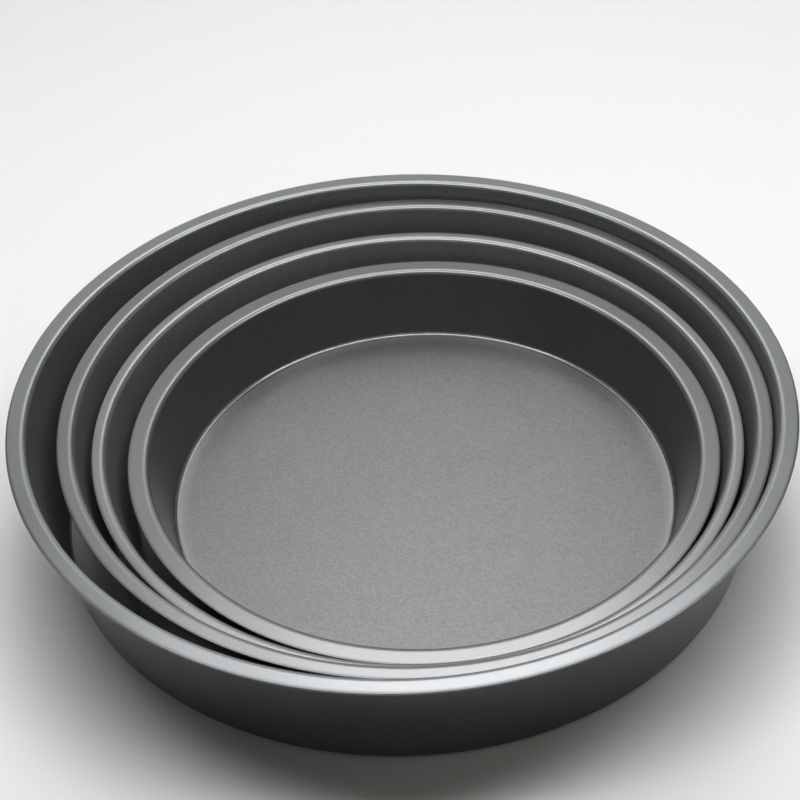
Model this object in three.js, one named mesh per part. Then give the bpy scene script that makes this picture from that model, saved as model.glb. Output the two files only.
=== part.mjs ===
// Four round deep-dish pizza pans of graded size, nested one inside the other.
// Millimetres, +Z up. The origin is the middle of the outer pan's underside.
import * as THREE from "three";

// Sheet and edges, the same for every pan
const SHEET = 1.0;
const FLOOR_GAP = 0.3;
const FLOOR_FILLET = 2.0;
const RIM_BEND = 2.2;
const EDGE_EASE = 0.4;

// Facets round the axis, and along the arcs of the profile
const TURN_STEPS = 80;
const FILLET_STEPS = 4;
const BEND_STEPS = 3;

// Each pan: inside radius at the top of the wall, width of the flat rim from there, height of
// the rim's top above the table, how far the wall flares from floor to mouth, how far the rim
// is out of round, and how far the pan has slid off the middle.
const PANS = [
  { name: "pan_12_inch", mouth: 151.8, rim: 7.7, top: 56.7, draw: 9.5, oval: 1.46, slide: [0, 0] },
  { name: "pan_11_inch", mouth: 139.5, rim: 6.9, top: 50.3, draw: 9.1, oval: 0, slide: [4.9, -0.2] },
  { name: "pan_10_inch", mouth: 128.6, rim: 5.4, top: 42.4, draw: 9.2, oval: 0, slide: [5.9, -3.4] },
  { name: "pan_9_inch", mouth: 114.0, rim: 8.4, top: 35.7, draw: 8.1, oval: 0, slide: [8.3, -5.2] },
];

// Hard-anodised aluminium, each pan a shade of its own
const FINISHES = {
  pan_12_inch: { color: 0x5d6063, roughness: 0.5, metalness: 0.85 },
  pan_11_inch: { color: 0x5f5d62, roughness: 0.5, metalness: 0.85 },
  pan_10_inch: { color: 0x5e5e5f, roughness: 0.5, metalness: 0.85 },
  pan_9_inch: { color: 0x605d5b, roughness: 0.5, metalness: 0.85 },
};

// Points on an arc, both ends included. Angles are in radians from the outward direction.
function arcPoints(centre, radius, from, to, steps) {
  const points = [];
  for (let i = 0; i <= steps; i += 1) {
    const angle = from + ((to - from) * i) / steps;
    const r = centre.x + radius * Math.cos(angle);
    const z = centre.y + radius * Math.sin(angle);
    points.push(new THREE.Vector2(r, z));
  }
  return points;
}

// The corner between two straight runs as the centre of its fillet on the inside of the pan.
// The floor is level and the wall leans outward by the angle flare from upright.
function filletCentre(cornerRadius, floorTop, flare) {
  const setBack = FLOOR_FILLET * Math.tan((Math.PI / 2 - flare) / 2);
  return new THREE.Vector2(cornerRadius - setBack, floorTop + FLOOR_FILLET);
}

// The centre of the bend that turns the wall outward into the flat rim.
function bendCentre(mouth, top, flare) {
  const setBack = RIM_BEND * Math.tan((Math.PI / 2 - flare) / 2);
  return new THREE.Vector2(mouth + setBack, top - RIM_BEND);
}

// Half section of one pan as a closed line of one sheet thickness, from the axis under the
// floor, up the outside, round the rim, down the inside and back to the axis.
function panSection(pan, underside) {
  const floorTop = underside + SHEET;
  const corner = pan.mouth - pan.draw;
  const flare = Math.atan2(pan.draw, pan.top - floorTop);
  const fillet = filletCentre(corner, floorTop, flare);
  const bend = bendCentre(pan.mouth, pan.top, flare);
  const rimEdge = pan.mouth + pan.rim;
  const down = -Math.PI / 2;
  const outsideFillet = arcPoints(fillet, FLOOR_FILLET + SHEET, down, -flare, FILLET_STEPS);
  const insideFillet = arcPoints(fillet, FLOOR_FILLET, -flare, down, FILLET_STEPS);
  const up = Math.PI / 2;
  const outsideBend = arcPoints(bend, RIM_BEND - SHEET, Math.PI - flare, up, BEND_STEPS);
  const insideBend = arcPoints(bend, RIM_BEND, up, Math.PI - flare, BEND_STEPS);
  const rimLip = [
    new THREE.Vector2(rimEdge - EDGE_EASE, pan.top - SHEET),
    new THREE.Vector2(rimEdge, pan.top - SHEET + EDGE_EASE),
    new THREE.Vector2(rimEdge, pan.top - EDGE_EASE),
    new THREE.Vector2(rimEdge - EDGE_EASE, pan.top),
  ];
  return [
    new THREE.Vector2(0, underside),
    ...outsideFillet,
    ...outsideBend,
    ...rimLip,
    ...insideBend,
    ...insideFillet,
    new THREE.Vector2(0, floorTop),
  ];
}

// One pan turned from its half section, widened along X and narrowed along Y where it is out
// of round, and set down where it stands in the nest.
function makePan(pan, underside) {
  const shape = new THREE.LatheGeometry(panSection(pan, underside), TURN_STEPS);
  shape.rotateX(Math.PI / 2);
  const strain = pan.oval / (pan.mouth + pan.rim);
  shape.scale(1 + strain, 1 - strain, 1);
  shape.translate(pan.slide[0], pan.slide[1], 0);
  const finish = new THREE.MeshStandardMaterial(FINISHES[pan.name]);
  const mesh = new THREE.Mesh(shape, finish);
  mesh.name = pan.name;
  return mesh;
}

const nest = new THREE.Group();
nest.name = "pizza_pan_nest";
PANS.forEach((pan, level) => {
  const underside = level * (SHEET + FLOOR_GAP);
  nest.add(makePan(pan, underside));
});

export default nest;
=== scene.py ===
"""A nest of round deep-dish pizza pans, dressed in hard-anodised sheet and lit in a studio.

Every pan is one drawn sheet, turned at a fine step from its half section and finished with a
grained metal. Sizes are in metres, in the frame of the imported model: +Z is up, and the origin
is the middle of the outer pan's underside.
"""
import logging
import math
from dataclasses import dataclass, replace
from enum import Enum

import bpy
from mathutils import Matrix, Vector


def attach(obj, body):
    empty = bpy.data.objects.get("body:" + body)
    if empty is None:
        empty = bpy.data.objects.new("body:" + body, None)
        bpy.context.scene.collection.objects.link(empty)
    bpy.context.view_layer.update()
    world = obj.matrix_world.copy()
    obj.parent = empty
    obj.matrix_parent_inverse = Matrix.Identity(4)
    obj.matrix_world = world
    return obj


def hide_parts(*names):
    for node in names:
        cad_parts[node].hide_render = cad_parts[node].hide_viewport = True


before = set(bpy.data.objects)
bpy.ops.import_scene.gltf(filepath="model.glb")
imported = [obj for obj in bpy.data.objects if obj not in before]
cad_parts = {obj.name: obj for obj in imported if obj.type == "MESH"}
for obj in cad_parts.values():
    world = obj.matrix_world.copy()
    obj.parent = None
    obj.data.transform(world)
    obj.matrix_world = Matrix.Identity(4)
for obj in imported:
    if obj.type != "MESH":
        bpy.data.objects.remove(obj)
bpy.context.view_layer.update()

LOG = logging.getLogger("pan_nest")
IMAGE_PIXELS = 800.0
MILLIMETRE = 0.001
SHEET_THICKNESS = 1.0 * MILLIMETRE

# Where rings of points stand along the straight runs of a section, as shares of the run. They
# crowd at the ends, so that the smooth shading of the arcs does not run out over the flats.
WALL_RUN = (0.01, 0.05, 0.25, 0.5, 0.75, 0.95, 0.99)
UNDERSIDE_RUN = (0.002, 0.3, 0.6, 0.85, 0.985, 0.996)
FLOOR_RUN = (0.02, 0.15, 0.4, 0.7, 0.998)

# The colour sockets of a Mix node, which shares their names with sockets of other kinds
MIX_FIRST, MIX_SECOND, MIX_RESULT = 6, 7, 2

Point = tuple[float, float]
Place = tuple[float, float, float]
Colour = tuple[float, float, float]
Socket = bpy.types.NodeSocket


def ramp(value: float, start: float, end: float) -> float:
    """Rises from 0 at the start to 1 at the end and is level outside them.

    Args:
        value: Where to look.
        start: Value at which the rise starts.
        end: Value at which it ends.

    Returns:
        The share of the rise, from 0 to 1.
    """
    return min(1.0, max(0.0, (value - start) / (end - start)))


class SheetMark(Enum):
    """Numbers that the turned sheet carries at each point, for its finish to read."""

    GRAIN = "grain_share"
    RUB_AND_HIGHLIGHT = "rub_share"
    # The tone factor carries painted light and shade
    TONE = "tone_factor"
    BARE = "bare_share"


@dataclass(frozen=True)
class SheetLook:
    """How one run of the sheet came out of the press, the blast and the bath, with painted light and
    shade in its tone.

    Attributes:
        tone: Factor of painted light and shade by which it is lighter or darker than the pan's colour.
        bare: Share of the surface that mirrors as bare metal, the rest being matt oxide.
        grain: Share of the blasted grain that it has.
    """

    tone: float = 1.0
    bare: float = 0.64
    grain: float = 0.27

    def toward(self, other: "SheetLook", share: float) -> "SheetLook":
        """Mixes this look with another one.

        Args:
            other: The look at 1.
            share: Share of the other look.

        Returns:
            The mixed look.
        """
        return SheetLook(self.tone + (other.tone - self.tone) * share,
                         self.bare + (other.bare - self.bare) * share,
                         self.grain + (other.grain - self.grain) * share)


@dataclass(frozen=True)
class EdgeWearAndHighlight:
    """Shares of the finish that handling rubs bright, and that painted highlight lightens, at each
    place's most.

    Attributes:
        bend: Bend from the rim into the wall.
        roll: Rim where it rolls down to its edge.
        lip_low: Lower rounding of the rim's cut edge.
        lip_high: Upper rounding of the rim's cut edge.
        heel: Outside of the turn from the floor into the wall.
        fillet: Inside of that turn, above 1 where the scuffs run together into a painted highlight.
        toe: Floor beside the fillet, as a share of the fillet's own: a painted lighter ring of light.
    """

    bend: float = 0.1
    roll: float = 0.2
    lip_low: float = 0.35
    lip_high: float = 0.55
    heel: float = 0.5
    fillet: float = 0.2
    toe: float = 0.2


@dataclass(frozen=True)
class SectionPoint:
    """A point of a pan's half section, with the state of the finish there.

    Attributes:
        radius: Distance from the pan's axis.
        height: Height above the table.
        look: Look of the sheet there.
        rub_and_highlight: Share of the finish lightened there, by handling's rub and by painted
            highlight.
    """

    radius: float
    height: float
    look: SheetLook
    rub_and_highlight: float = 0.0


class NodeBench:
    """Adds and joins the shader nodes of one material or world."""

    def __init__(self, tree: bpy.types.NodeTree) -> None:
        """Clears the tree and keeps it.

        Args:
            tree: Node tree to work on.
        """
        self.tree = tree
        self.tree.nodes.clear()

    def add(self, kind: str, settings: dict | None = None, **inputs: object) -> bpy.types.Node:
        """Adds one node.

        Args:
            kind: Blender's name of the node type, without the ShaderNode prefix.
            settings: Properties to set on the node itself.
            **inputs: Values or output sockets for its inputs, with _ for a space in a name.

        Returns:
            The new node.
        """
        node = self.tree.nodes.new("ShaderNode" + kind)
        for name, value in (settings or {}).items():
            setattr(node, name, value)
        for name, value in inputs.items():
            self.feed(node.inputs[name.replace("_", " ")], value)
        return node

    def feed(self, socket: Socket, value: object) -> None:
        """Sets an input socket, or links it where the value is an output socket.

        Args:
            socket: Input to feed.
            value: Plain value or output socket.
        """
        if isinstance(value, Socket):
            self.tree.links.new(value, socket)
        else:
            socket.default_value = value

    def mark(self, mark: SheetMark) -> Socket:
        """Gives the socket of a number that the turned sheet carries."""
        return self.add("Attribute", {"attribute_name": mark.value}).outputs["Fac"]

    def noise(self, place: Socket, scale: float, detail: float, roughness: float) -> Socket:
        """Adds a soft noise that runs from 0 to 1.

        Args:
            place: Socket of the place to look up.
            scale: Waves along one metre.
            detail: How many finer layers it has.
            roughness: How strong the finer layers are.

        Returns:
            The socket of the noise.
        """
        node = self.add("TexNoise", Vector=place, Scale=scale, Detail=detail, Roughness=roughness)
        return node.outputs["Fac"]

    def math(self, operation: str, first: object, second: object) -> Socket:
        """Works out one sum or product of two values.

        Args:
            operation: Name of the operation, such as MULTIPLY.
            first: Value or socket.
            second: Value or socket.

        Returns:
            The socket of the result.
        """
        node = self.add("Math", {"operation": operation})
        self.feed(node.inputs[0], first)
        self.feed(node.inputs[1], second)
        return node.outputs[0]

    def spread(self, value: object, low: object, high: object) -> Socket:
        """Maps a share from 0 to 1 onto a range.

        Args:
            value: Socket that runs from 0 to 1.
            low: Value or socket that is the result at 0.
            high: Value or socket that is the result at 1.

        Returns:
            The socket of the result.
        """
        node = self.add("MapRange", {"clamp": False}, Value=value, To_Min=low, To_Max=high)
        return node.outputs["Result"]

    def blend(self, share: object, first: object, second: object) -> Socket:
        """Mixes two colours.

        Args:
            share: Share of the second colour.
            first: Colour or socket at 0.
            second: Colour or socket at 1.

        Returns:
            The socket of the mixed colour.
        """
        node = self.add("Mix", {"data_type": "RGBA"}, Factor=share)
        self.feed(node.inputs[MIX_FIRST], first)
        self.feed(node.inputs[MIX_SECOND], second)
        return node.outputs[MIX_RESULT]


@dataclass(frozen=True)
class AnodisedSheet:
    """Hard-anodised aluminium sheet with a fine blasted grain.

    Attributes:
        name: Name of the material.
        colour: Colour of the sheet, linear.
        smooth: Roughness where there is no grain.
        grained: Roughness where the grain is fullest.
        rough_drift: How far the roughness drifts over the sheet.
        grain_size: Size of one grain.
        grain_depth: Height of the grain.
        peel_per_grain: Waves of orange peel along the length of one grain.
        flake_per_grain: Flakes along the length of one grain.
        flake: Share by which single flakes differ in tone.
        cloud: Share by which the tone drifts over the sheet.
        clouds_per_metre: Drifts along one metre.
        scuffs_per_metre: Scuffs along one metre of a rubbed place.
        scuff_range: Factor of the lightening between the scuffs and on them.
        rub_and_highlight_lift: Factor by which rubbed places and painted highlights are lighter than
            the sheet.
    """

    name: str
    colour: Colour
    smooth: float = 0.10
    grained: float = 0.38
    rough_drift: float = 0.035
    grain_size: float = 0.95 * MILLIMETRE
    grain_depth: float = 0.044 * MILLIMETRE
    peel_per_grain: float = 0.16
    flake_per_grain: float = 1.3
    flake: float = 0.12
    cloud: float = 0.10
    clouds_per_metre: float = 24.0
    scuffs_per_metre: float = 310.0
    scuff_range: Point = (-0.35, 1.1)
    rub_and_highlight_lift: float = 1.7

    def shade(self, factor: float) -> tuple[float, float, float, float]:
        """Gives the sheet's colour, made lighter or darker by a factor."""
        return (*(channel * factor for channel in self.colour), 1.0)

    def tint(self, bench: NodeBench, place: Socket, cloud: Socket) -> Socket:
        """Tints the sheet with flakes, drifts in tone, bright scuffs of rubbed places and painted
        highlight.

        Args:
            bench: Bench of the material.
            place: Place on the pan.
            cloud: Drift over the sheet, from 0 to 1.

        Returns:
            The socket of the colour.
        """
        cells = bench.add("TexVoronoi", {"feature": "F1"}, Vector=place,
                          Scale=self.flake_per_grain / self.grain_size, Randomness=1.0)
        flake = bench.add("SeparateColor", Color=cells.outputs["Color"]).outputs["Red"]
        flake_tone = bench.math("MULTIPLY", bench.mark(SheetMark.GRAIN),
                                bench.spread(flake, -self.flake, self.flake))
        tone = bench.math("ADD", bench.spread(cloud, -self.cloud, self.cloud), flake_tone)
        tone = bench.math("ADD", tone, bench.mark(SheetMark.TONE))
        # Half the tone mixes black with twice the colour, so that a tone of 1 is the colour
        sheet = bench.blend(bench.math("MULTIPLY", tone, 0.5), self.shade(0.0), self.shade(2.0))
        # The rub share lightens rubbed edges, and along the inner fillet and its toe it paints
        # highlight
        scuff = bench.noise(place, self.scuffs_per_metre, detail=3.0, roughness=0.7)
        rub_and_highlight = bench.math("MULTIPLY", bench.mark(SheetMark.RUB_AND_HIGHLIGHT),
                         bench.spread(scuff, *self.scuff_range))
        return bench.blend(bench.math("MAXIMUM", rub_and_highlight, 0.0), sheet, self.shade(self.rub_and_highlight_lift))

    def relief(self, bench: NodeBench, place: Socket) -> Socket:
        """Raises the blasted grain and the softer orange peel below it.

        Args:
            bench: Bench of the material.
            place: Place on the pan.

        Returns:
            The socket of the surface's direction.
        """
        grain = bench.noise(place, 1.0 / self.grain_size, detail=2.5, roughness=0.6)
        peel = bench.noise(place, self.peel_per_grain / self.grain_size, detail=2.0, roughness=0.5)
        height = bench.math("MULTIPLY", bench.mark(SheetMark.GRAIN), bench.math("ADD", grain, peel))
        bump = bench.add("Bump", Height=height, Strength=1.0, Distance=self.grain_depth)
        return bump.outputs["Normal"]

    def material(self) -> bpy.types.Material:
        """Builds the node material.

        Returns:
            The new material.
        """
        made = bpy.data.materials.new(self.name)
        made.use_nodes = True
        bench = NodeBench(made.node_tree)
        place = bench.add("TexCoord").outputs["Object"]
        cloud = bench.noise(place, self.clouds_per_metre, detail=3.0, roughness=0.55)
        rough = bench.math("ADD",
                           bench.spread(bench.mark(SheetMark.GRAIN), self.smooth, self.grained),
                           bench.spread(cloud, -self.rough_drift, self.rough_drift))
        shader = bench.add("BsdfPrincipled", Base_Color=self.tint(bench, place, cloud),
                           Roughness=rough, Metallic=bench.mark(SheetMark.BARE),
                           Normal=self.relief(bench, place))
        bench.add("OutputMaterial", Surface=shader.outputs["BSDF"])
        return made


@dataclass
class DrawnPan:
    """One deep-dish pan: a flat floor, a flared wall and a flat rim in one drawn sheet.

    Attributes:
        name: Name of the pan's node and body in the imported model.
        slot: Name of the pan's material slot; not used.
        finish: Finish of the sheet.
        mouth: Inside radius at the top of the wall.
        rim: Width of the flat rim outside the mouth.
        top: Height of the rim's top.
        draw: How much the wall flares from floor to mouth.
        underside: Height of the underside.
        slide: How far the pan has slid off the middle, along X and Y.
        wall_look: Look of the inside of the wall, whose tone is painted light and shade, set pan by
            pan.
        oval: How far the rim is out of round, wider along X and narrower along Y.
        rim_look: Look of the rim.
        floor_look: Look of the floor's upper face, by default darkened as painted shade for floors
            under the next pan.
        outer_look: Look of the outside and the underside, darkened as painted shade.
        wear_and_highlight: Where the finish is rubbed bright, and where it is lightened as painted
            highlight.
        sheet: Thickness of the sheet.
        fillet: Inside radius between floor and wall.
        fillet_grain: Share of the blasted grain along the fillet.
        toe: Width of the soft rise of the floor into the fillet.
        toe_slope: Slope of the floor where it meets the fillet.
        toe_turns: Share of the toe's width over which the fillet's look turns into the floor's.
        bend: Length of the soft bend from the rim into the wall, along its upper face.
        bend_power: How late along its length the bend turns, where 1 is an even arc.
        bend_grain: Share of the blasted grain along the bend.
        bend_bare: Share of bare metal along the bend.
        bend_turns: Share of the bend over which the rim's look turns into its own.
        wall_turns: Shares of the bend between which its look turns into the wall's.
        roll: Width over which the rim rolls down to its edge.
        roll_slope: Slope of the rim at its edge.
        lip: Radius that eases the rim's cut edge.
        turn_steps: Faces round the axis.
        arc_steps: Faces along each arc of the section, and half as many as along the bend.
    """

    name: str
    slot: str
    finish: AnodisedSheet
    mouth: float
    rim: float
    top: float
    draw: float
    underside: float
    slide: Point
    wall_look: SheetLook
    oval: float = 0.0
    rim_look: SheetLook = SheetLook()
    # Floors hidden under the next pan are darkened as painted shade
    floor_look: SheetLook = SheetLook(tone=0.62, bare=0.15, grain=0.7)
    # The outside is darkened as painted shade
    outer_look: SheetLook = SheetLook(tone=0.7, bare=0.64, grain=0.5)
    wear_and_highlight: EdgeWearAndHighlight = EdgeWearAndHighlight()
    sheet: float = SHEET_THICKNESS
    fillet: float = 1.6 * MILLIMETRE
    fillet_grain: float = 0.7
    toe: float = 5.0 * MILLIMETRE
    toe_slope: float = 0.10
    toe_turns: float = 0.25
    bend: float = 3.9 * MILLIMETRE
    bend_power: float = 1.8
    bend_grain: float = 0.47
    bend_bare: float = 0.60
    bend_turns: float = 1.0 / 3.0
    wall_turns: Point = (0.7, 0.9)
    roll: float = 1.5 * MILLIMETRE
    roll_slope: float = 0.12
    lip: float = 0.4 * MILLIMETRE
    turn_steps: int = 256
    arc_steps: int = 10

    @property
    def floor_top(self) -> float:
        """Height of the floor's upper face."""
        return self.underside + self.sheet

    @property
    def wall_foot(self) -> float:
        """Radius at which the lines of the wall and the floor's upper face meet."""
        return self.mouth - self.draw

    @property
    def flare(self) -> float:
        """Angle of the wall from upright, in radians."""
        return math.atan2(self.draw, self.top - self.floor_top)

    def arc(self, centre: Point, radius: float, start: float, end: float,
            look: SheetLook, rub_and_highlight: float) -> list[SectionPoint]:
        """Sets points along an arc of the section.

        Args:
            centre: Centre of the arc, as radius and height.
            radius: Radius of the arc.
            start: Angle of its first point from the outward direction, in radians.
            end: Angle of its last point.
            look: Look of the sheet along it.
            rub_and_highlight: Share lightened at the middle of the arc, by rub and by painted
                highlight.

        Returns:
            The points, both ends included.
        """
        points = []
        for step in range(self.arc_steps + 1):
            along = step / self.arc_steps
            angle = start + (end - start) * along
            points.append(SectionPoint(centre[0] + radius * math.cos(angle),
                                       centre[1] + radius * math.sin(angle),
                                       look, rub_and_highlight * math.sin(math.pi * along)))
        return points

    @staticmethod
    def between(first: SectionPoint, last: SectionPoint,
                shares: tuple[float, ...]) -> list[SectionPoint]:
        """Sets points on the straight run between two points.

        Args:
            first: Point where the run starts.
            last: Point where it ends.
            shares: Where the new points stand, as shares of the run.

        Returns:
            The new points, without the ends.
        """
        return [
            SectionPoint(
                first.radius + (last.radius - first.radius) * share,
                first.height + (last.height - first.height) * share,
                first.look.toward(last.look, share),
                first.rub_and_highlight + (last.rub_and_highlight - first.rub_and_highlight) * share,
            )
            for share in shares
        ]

    def below(self, place: SectionPoint, tilt: float) -> SectionPoint:
        """Finds the point of the lower face that lies under a point of the upper one.

        Args:
            place: Point of the upper face.
            tilt: Slope of the sheet there in radians, above 0 where it falls inward.

        Returns:
            The point of the lower face.
        """
        return SectionPoint(place.radius + self.sheet * math.sin(tilt),
                            place.height - self.sheet * math.cos(tilt), self.outer_look)

    def bend_look(self, along: float) -> SheetLook:
        """Finds the look on the bend, which turns from the rim's to its own and the wall's.

        Args:
            along: Share of the bend's length, from the rim.

        Returns:
            The look there.
        """
        bent = replace(self.rim_look, bare=self.bend_bare, grain=self.bend_grain)
        look = self.rim_look.toward(bent, ramp(along, 0.0, self.bend_turns))
        return look.toward(self.wall_look, ramp(along, *self.wall_turns))

    def soft_bend(self) -> tuple[list[SectionPoint], list[SectionPoint]]:
        """Bends the sheet from the rim into the wall, slowly at the rim and faster at the wall.

        Returns:
            Points of the upper face from the rim to the wall, and of the lower face below them.
        """
        steps = 2 * self.arc_steps
        turn = math.pi / 2 - self.flare
        path, radius, height = [(0.0, 0.0, 0.0)], 0.0, 0.0
        for step in range(steps):
            angle = turn * ((step + 0.5) / steps) ** self.bend_power
            radius -= math.cos(angle) * self.bend / steps
            height -= math.sin(angle) * self.bend / steps
            path.append((radius, height, turn * ((step + 1.0) / steps) ** self.bend_power))
        start = self.mouth + height * math.tan(self.flare) - radius
        upper, lower = [], []
        for number, (radius, height, angle) in enumerate(path):
            along = number / steps
            place = SectionPoint(start + radius, self.top + height, self.bend_look(along),
                                 self.wear_and_highlight.bend * math.sin(math.pi * along))
            upper.append(place)
            lower.append(self.below(place, angle))
        return upper, lower

    def rolled_edge(self) -> tuple[list[SectionPoint], list[SectionPoint], list[SectionPoint]]:
        """Rolls the rim softly down to its edge and rounds the cut edge.

        Returns:
            Points of the upper face outward, of the lower face below them, and of the cut edge
            from the lower face up to the upper one.
        """
        slope = self.roll_slope
        last = self.mouth + self.rim - self.lip * (1.0 - math.sin(slope))
        upper, lower = [], []
        for step in range(self.arc_steps + 1):
            along = step / self.arc_steps
            place = SectionPoint(last - self.roll * (1.0 - along),
                                 self.top - self.roll * slope * along ** 3 / 3.0,
                                 self.rim_look, self.wear_and_highlight.roll * along)
            upper.append(place)
            lower.append(self.below(place, -slope * along * along))
        end = upper[-1]
        high = (end.radius - self.lip * math.sin(slope), end.height - self.lip * math.cos(slope))
        across = self.sheet - 2.0 * self.lip
        low = (high[0] - across * math.sin(slope), high[1] - across * math.cos(slope))
        down, up = -math.pi / 2 - slope, math.pi / 2 - slope
        cut = [*self.arc(low, self.lip, down, 0.0, self.rim_look, self.wear_and_highlight.lip_low),
               *self.arc(high, self.lip, 0.0, up, self.rim_look, self.wear_and_highlight.lip_high)]
        return upper[:-1], lower[:-1], cut

    def floor_edge(self) -> tuple[list[SectionPoint], list[SectionPoint]]:
        """Turns the wall into the floor: a tight fillet, and a soft rise of the floor into it.

        Returns:
            Points of the fillet from the wall down, and of the rise from the fillet inward.
        """
        rise = self.toe * self.toe_slope / 2.0
        lift = rise + self.fillet * math.cos(self.toe_slope)
        set_in = self.fillet / math.cos(self.flare)
        centre = (self.wall_foot + lift * math.tan(self.flare) - set_in, self.floor_top + lift)
        edge_look = replace(self.floor_look, grain=self.fillet_grain)
        fillet = self.arc(centre, self.fillet, -self.flare, self.toe_slope - math.pi / 2,
                          edge_look, self.wear_and_highlight.fillet)
        half = self.arc_steps // 2
        wall_side = [replace(point, look=self.wall_look) for point in fillet[:half]]
        # The toe's lightening is a painted ring of light beside the fillet
        toe = []
        for step in range(1, self.arc_steps + 1):
            along = step / self.arc_steps
            left = 1.0 - along
            toe.append(SectionPoint(fillet[-1].radius - self.toe * along,
                                    self.floor_top + rise * left * left,
                                    edge_look.toward(self.floor_look, ramp(along, 0.0, self.toe_turns)),
                                    self.wear_and_highlight.toe * self.wear_and_highlight.fillet * left * left))
        return wall_side + fillet[half:], toe

    def section(self) -> list[SectionPoint]:
        """Draws the closed half section, from under the floor round the rim and back inside.

        Returns:
            The points of the section, first and last on the axis.
        """
        set_back = self.fillet * math.tan((math.pi / 2 - self.flare) / 2)
        heel_at = (self.wall_foot - set_back, self.floor_top + self.fillet)
        heel = self.arc(heel_at, self.fillet + self.sheet, -math.pi / 2, -self.flare,
                        self.outer_look, self.wear_and_highlight.heel)
        fillet, toe = self.floor_edge()
        bend_upper, bend_lower = self.soft_bend()
        roll_upper, roll_lower, cut = self.rolled_edge()
        hub_low = SectionPoint(0.0, self.underside, self.outer_look)
        hub_high = SectionPoint(0.0, self.floor_top, self.floor_look)
        return [
            hub_low, *self.between(hub_low, heel[0], UNDERSIDE_RUN), *heel,
            *self.between(heel[-1], bend_lower[-1], WALL_RUN), *reversed(bend_lower),
            *roll_lower, *cut, *reversed(roll_upper), *bend_upper,
            *self.between(bend_upper[-1], fillet[0], WALL_RUN), *fillet, *toe,
            *self.between(toe[-1], hub_high, FLOOR_RUN), hub_high,
        ]

    def turned_mesh(self) -> bpy.types.Mesh:
        """Turns the section about the pan's axis.

        Returns:
            A closed smooth mesh that carries the marks of the finish.
        """
        section = self.section()
        hubs, rings = [section[0], section[-1]], section[1:-1]
        steps = self.turn_steps
        strain = self.oval / (self.mouth + self.rim)
        points = [Vector((*self.slide, hub.height)) for hub in hubs]
        for place in rings:
            for step in range(steps):
                angle = 2 * math.pi * step / steps
                points.append(Vector((
                    self.slide[0] + place.radius * (1.0 + strain) * math.cos(angle),
                    self.slide[1] + place.radius * (1.0 - strain) * math.sin(angle),
                    place.height,
                )))

        def at(row: int, step: int) -> int:
            """Gives the number of a point on a ring."""
            return len(hubs) + row * steps + step % steps

        last = len(rings) - 1
        faces: list[tuple[int, ...]] = []
        for step in range(steps):
            faces.append((0, at(0, step + 1), at(0, step)))
            faces.append((1, at(last, step), at(last, step + 1)))
            for row in range(last):
                faces.append((at(row, step), at(row, step + 1),
                              at(row + 1, step + 1), at(row + 1, step)))
        mesh = bpy.data.meshes.new(self.name + "_sheet")
        mesh.from_pydata(points, [], faces)
        mesh.validate()
        mesh.shade_smooth()
        self.set_marks(mesh, [*hubs, *(place for place in rings for _ in range(steps))])
        return mesh

    @staticmethod
    def set_marks(mesh: bpy.types.Mesh, places: list[SectionPoint]) -> None:
        """Writes the marks of the finish on a mesh.

        Args:
            mesh: Mesh of the turned sheet.
            places: Point of the section that each point of the mesh was turned from.
        """
        marks = {
            SheetMark.GRAIN: [place.look.grain for place in places],
            SheetMark.RUB_AND_HIGHLIGHT: [place.rub_and_highlight for place in places],
            SheetMark.TONE: [place.look.tone for place in places],
            SheetMark.BARE: [place.look.bare for place in places],
        }
        for mark, values in marks.items():
            layer = mesh.attributes.new(mark.value, "FLOAT", "POINT")
            layer.data.foreach_set("value", values)

    def build(self) -> bpy.types.Object:
        """Builds the pan, dresses it and sets it on its body.

        Returns:
            The finished pan.
        """
        pan = bpy.data.objects.new(self.name + "_drawn", self.turned_mesh())
        bpy.context.scene.collection.objects.link(pan)
        pan.data.materials.append(self.finish.material())
        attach(pan, self.name)
        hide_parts(self.name)
        return pan


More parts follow.
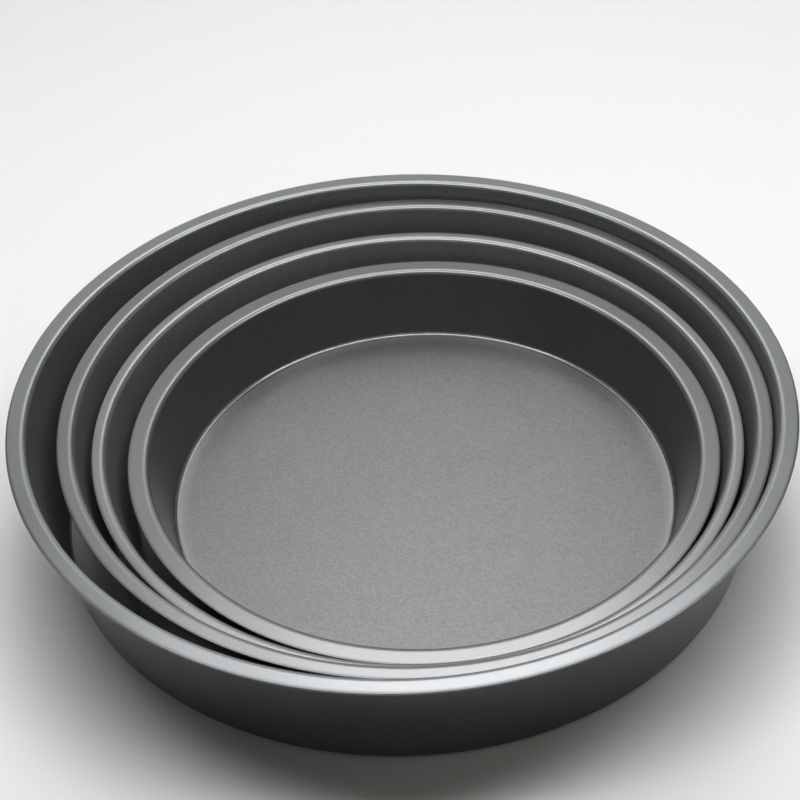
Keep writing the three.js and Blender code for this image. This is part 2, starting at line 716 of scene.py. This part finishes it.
@dataclass
class PanNest:
    """The four pans as they stand one inside the other.

    Attributes:
        gap: Clearance between one floor and the next.
    """

    gap: float = 0.3 * MILLIMETRE

    def pans(self) -> list[DrawnPan]:
        """Lists the pans from the outer to the inner one.

        Returns:
            The pans, not yet built.
        """
        level = SHEET_THICKNESS + self.gap
        cool = AnodisedSheet("cool_grey_sheet", (0.159, 0.166, 0.170))
        violet = AnodisedSheet("violet_grey_sheet", (0.137, 0.137, 0.140))
        neutral = AnodisedSheet("neutral_grey_sheet", (0.159, 0.159, 0.161))
        warm = AnodisedSheet("warm_grey_sheet", (0.129, 0.128, 0.125))
        return [
            DrawnPan(
                "pan_12_inch", "sheet_12_inch", cool,
                mouth=0.1518, rim=0.0077, top=0.0567, draw=0.0095, underside=0.0,
                slide=(0.0, 0.0), oval=0.00146,
                # Wall tone: painted light and shade for this pan's gap wall
                wall_look=SheetLook(tone=0.62, bare=0.14, grain=0.7),
                # The outer pan's outside is darkened further as painted shade on its front
                outer_look=SheetLook(tone=0.5, bare=0.64, grain=0.5),
            ),
            DrawnPan(
                "pan_11_inch", "sheet_11_inch", violet,
                mouth=0.1395, rim=0.0069, top=0.0503, draw=0.0091, underside=level,
                slide=(0.0049, -0.0002),
                # Wall tone: painted light and shade for this pan's gap wall
                wall_look=SheetLook(tone=0.81, bare=0.12, grain=0.7),
            ),
            DrawnPan(
                "pan_10_inch", "sheet_10_inch", neutral,
                mouth=0.1286, rim=0.0054, top=0.0424, draw=0.0092, underside=2 * level,
                slide=(0.0059, -0.0034),
                rim_look=SheetLook(bare=0.52),
                # Wall tone: painted light and shade for this pan's gap wall
                wall_look=SheetLook(tone=0.74, bare=0.15, grain=0.7),
            ),
            DrawnPan(
                "pan_9_inch", "sheet_9_inch", warm,
                mouth=0.1140, rim=0.0084, top=0.0357, draw=0.0081, underside=3 * level,
                slide=(0.0083, -0.0052),
                # Wall tone: painted shade for the inside wall of the inner pan
                wall_look=SheetLook(tone=0.71, bare=0.50, grain=0.5),
                floor_look=SheetLook(tone=0.94, bare=0.66, grain=1.0),
                # Its fillet is lightened past the rub into a painted highlight along the floor's edge
                fillet_grain=0.1, wear_and_highlight=EdgeWearAndHighlight(fillet=1.4),
            ),
        ]


class PanelForm(Enum):
    """Outlines of a soft light, by Blender's names."""

    OBLONG = "RECTANGLE"
    ROUND = "ELLIPSE"


@dataclass(frozen=True)
class SoftPanel:
    """One flat soft light, not seen by the camera itself.

    Attributes:
        name: Name of the light.
        at: Middle of the panel.
        facing: Direction that it shines in.
        size: Width and depth of the panel.
        glow: Brightness of its face, where a white sheet in full light has 1.
        form: Outline of the panel.
        spread: Angle over which it shines, in degrees.
        colour: Colour of its light.
    """

    name: str
    at: Place
    facing: Place
    size: Point
    glow: float
    form: PanelForm = PanelForm.OBLONG
    spread: float = 180.0
    colour: Colour = (1.0, 1.0, 1.0)

    @property
    def power(self) -> float:
        """Power of the whole panel, in watts."""
        share = 1.0 if self.form is PanelForm.OBLONG else math.pi / 4
        return math.pi * self.size[0] * self.size[1] * share * self.glow

    def build(self) -> bpy.types.Object:
        """Hangs the panel.

        Returns:
            The light.
        """
        lamp = bpy.data.lights.new(self.name, "AREA")
        lamp.shape = self.form.value
        lamp.size, lamp.size_y = self.size
        lamp.energy = self.power
        lamp.color = self.colour
        lamp.spread = math.radians(self.spread)
        light = bpy.data.objects.new(self.name, lamp)
        light.location = self.at
        light.rotation_euler = Vector(self.facing).to_track_quat("-Z", "Y").to_euler()
        light.visible_camera = False
        bpy.context.scene.collection.objects.link(light)
        return light


@dataclass
class Studio:
    """A pale table under soft panels, in a plain bright room.

    Attributes:
        table_half: Half the side of the table.
        table_drop: How far the table lies below the outer pan's underside.
        table_colour: Colour of the table.
        down: Direction of the panels that shine straight down.
        slant: Direction of the key light, down and toward the viewer.
        warm: Colour of the panels on the viewer's side.
        surround_height: Height of the panels over the table's outer parts.
        surround_glow: Brightness of those panels.
        surround_spread: Angle over which they shine, too narrow to reach the pans, in degrees.
        room_seen: Brightness of the room where it is seen.
        room_mirrored: Brightness of the room where it is mirrored, on all sides but the far one.
        far_mirrored: Brightness of the room's far side where it is mirrored beside the panels.
        far_turns: Shares of the way toward +Y between which the room turns into its far side.
        room_fill: Brightness that the room sheds on the table and the pans.
        fill_colour: Colour of that light.
    """

    table_half: float = 6.0
    table_drop: float = 0.2 * MILLIMETRE
    table_colour: Colour = (0.77, 0.768, 0.761)
    down: Place = (0.0, 0.0, -1.0)
    slant: Place = (0.0, -0.55, -1.0)
    warm: Colour = (1.0, 0.95, 0.88)
    surround_height: float = 1.2
    surround_glow: float = 0.95
    surround_spread: float = 40.0
    room_seen: float = 0.84
    room_mirrored: float = 0.45
    far_mirrored: float = 0.05
    far_turns: Point = (0.35, 0.7)
    room_fill: float = 0.015
    fill_colour: Colour = (1.0, 0.93, 0.85)

    def key_panels(self) -> list[SoftPanel]:
        """Lists the round panels of the key light, brightest in the middle.

        Returns:
            The panels, not yet hung.
        """
        return [
            SoftPanel("key_core", (0.05, 0.90, 1.20), self.slant, (0.40, 0.36), 3.2,
                      PanelForm.ROUND),
            SoftPanel("key_disc", (0.03, 0.80, 1.21), self.slant, (0.74, 0.50), 3.0,
                      PanelForm.ROUND),
            SoftPanel("key_halo", (0.03, 0.74, 1.22), self.slant, (1.10, 1.00), 1.0,
                      PanelForm.ROUND),
        ]

    def fill_panels(self) -> list[SoftPanel]:
        """Lists the strip over the pans and the panels that fill from the sides.

        Returns:
            The panels, not yet hung.
        """
        return [
            SoftPanel("top_strip", (0.07, 0.03, 0.9), self.down, (1.3, 0.25), 8.6),
            SoftPanel("front_right", (0.8, -0.3, 0.9), (-0.6, 0.2, -1.0), (0.5, 0.6), 0.85,
                      colour=self.warm),
            SoftPanel("back_wall", (0.0, 2.5, 1.3), (0.0, -1.0, 0.0), (2.4, 2.6), 1.12),
            SoftPanel("near_wall", (0.0, -2.5, 1.0), (0.0, 1.0, 0.0), (4.0, 2.0), 0.31,
                      colour=self.warm),
        ]

    def surround_panels(self) -> list[SoftPanel]:
        """Lists the panels that light the table's outer parts for views from other sides.

        Returns:
            The panels, not yet hung.
        """
        spots = {
            "far_surround": ((0.0, 4.0), (12.8, 5.0)),
            "near_surround": ((0.0, -3.6), (12.8, 5.6)),
            "left_surround": ((-3.625, 0.35), (5.55, 2.3)),
            "right_surround": ((3.625, 0.35), (5.55, 2.3)),
        }
        return [SoftPanel(name, (*middle, self.surround_height), self.down, size,
                          self.surround_glow, spread=self.surround_spread)
                for name, (middle, size) in spots.items()]

    def build_table(self) -> bpy.types.Object:
        """Lays the table under the pans.

        Returns:
            The table top.
        """
        half = self.table_half
        corners = [(-half, -half, 0.0), (half, -half, 0.0), (half, half, 0.0), (-half, half, 0.0)]
        mesh = bpy.data.meshes.new("table_top")
        mesh.from_pydata(corners, [], [(0, 1, 2, 3)])
        table = bpy.data.objects.new("table_top", mesh)
        table.location.z = -self.table_drop
        bpy.context.scene.collection.objects.link(table)
        paint = bpy.data.materials.new("pale_table")
        paint.use_nodes = True
        bench = NodeBench(paint.node_tree)
        matt = bench.add("BsdfDiffuse", Color=(*self.table_colour, 1.0))
        bench.add("OutputMaterial", Surface=matt.outputs["BSDF"])
        mesh.materials.append(paint)
        return table

    def build_room(self) -> None:
        """Sets the room's brightness, which is seen and mirrored more brightly than it fills."""
        world = bpy.data.worlds.new("bright_room")
        world.use_nodes = True
        bench = NodeBench(world.node_tree)
        path = bench.add("LightPath").outputs
        way = bench.add("SeparateXYZ", Vector=bench.add("TexCoord").outputs["Generated"])
        far_from, far_full = self.far_turns
        mirrored = bench.add("MapRange", Value=way.outputs["Y"], From_Min=far_from,
                             From_Max=far_full, To_Min=self.room_mirrored,
                             To_Max=self.far_mirrored).outputs["Result"]
        strength = bench.spread(path["Is Glossy Ray"], self.room_fill, mirrored)
        strength = bench.spread(path["Is Camera Ray"], strength, self.room_seen)
        seen = bench.math("MAXIMUM", path["Is Camera Ray"], path["Is Glossy Ray"])
        colour = bench.blend(seen, (*self.fill_colour, 1.0), (1.0, 1.0, 1.0, 1.0))
        room = bench.add("Background", Color=colour, Strength=strength)
        bench.add("OutputWorld", Surface=room.outputs["Background"])
        bpy.context.scene.world = world

    def build(self) -> None:
        """Builds the table, the panels and the room."""
        self.build_table()
        for panel in [*self.key_panels(), *self.fill_panels(), *self.surround_panels()]:
            panel.build()
        self.build_room()


@dataclass
class PictureCamera:
    """The camera at the photograph's place.

    Attributes:
        at: Where the camera stands.
        pitch: How far it looks down, in degrees.
        roll: How far it is turned about its line of sight, in degrees.
        focal_pixels: Focal length in pixels of the picture.
        sensor: Width of the sensor, in millimetres.
        reach: Nearest and farthest distance that it sees.
    """

    at: Place = (-0.00030, -0.56779, 0.55193)
    pitch: float = 41.310
    roll: float = -2.635
    focal_pixels: float = 1837.71
    sensor: float = 36.0
    reach: Point = (0.01, 50.0)

    def build(self) -> bpy.types.Object:
        """Sets the camera up as the scene's own.

        Returns:
            The camera.
        """
        pitch, roll = math.radians(self.pitch), math.radians(self.roll)
        level = Vector((1.0, 0.0, 0.0))
        ahead = Vector((0.0, math.cos(pitch), -math.sin(pitch)))
        above = Vector((0.0, math.sin(pitch), math.cos(pitch)))
        right = level * math.cos(roll) + above * math.sin(roll)
        up = above * math.cos(roll) - level * math.sin(roll)
        lens = bpy.data.cameras.new("picture_camera")
        lens.sensor_fit = "HORIZONTAL"
        lens.sensor_width = self.sensor
        lens.lens = self.focal_pixels / IMAGE_PIXELS * self.sensor
        lens.clip_start, lens.clip_end = self.reach
        camera = bpy.data.objects.new("picture_camera", lens)
        turned = Matrix((right, up, -ahead)).transposed().to_4x4()
        camera.matrix_world = Matrix.Translation(Vector(self.at)) @ turned
        bpy.context.scene.collection.objects.link(camera)
        bpy.context.scene.camera = camera
        return camera


def main() -> None:
    """Builds the camera, the studio and the pans, and reports each pan."""
    logging.basicConfig(level=logging.INFO, format="%(name)s: %(message)s")
    bpy.context.scene.view_settings.view_transform = "Standard"
    PictureCamera().build()
    Studio().build()
    for pan in PanNest().pans():
        made = pan.build()
        LOG.info("%s stands %.1f mm above the table, %d faces", made.name,
                 pan.underside / MILLIMETRE, len(made.data.polygons))


if __name__ == "__main__":
    main()
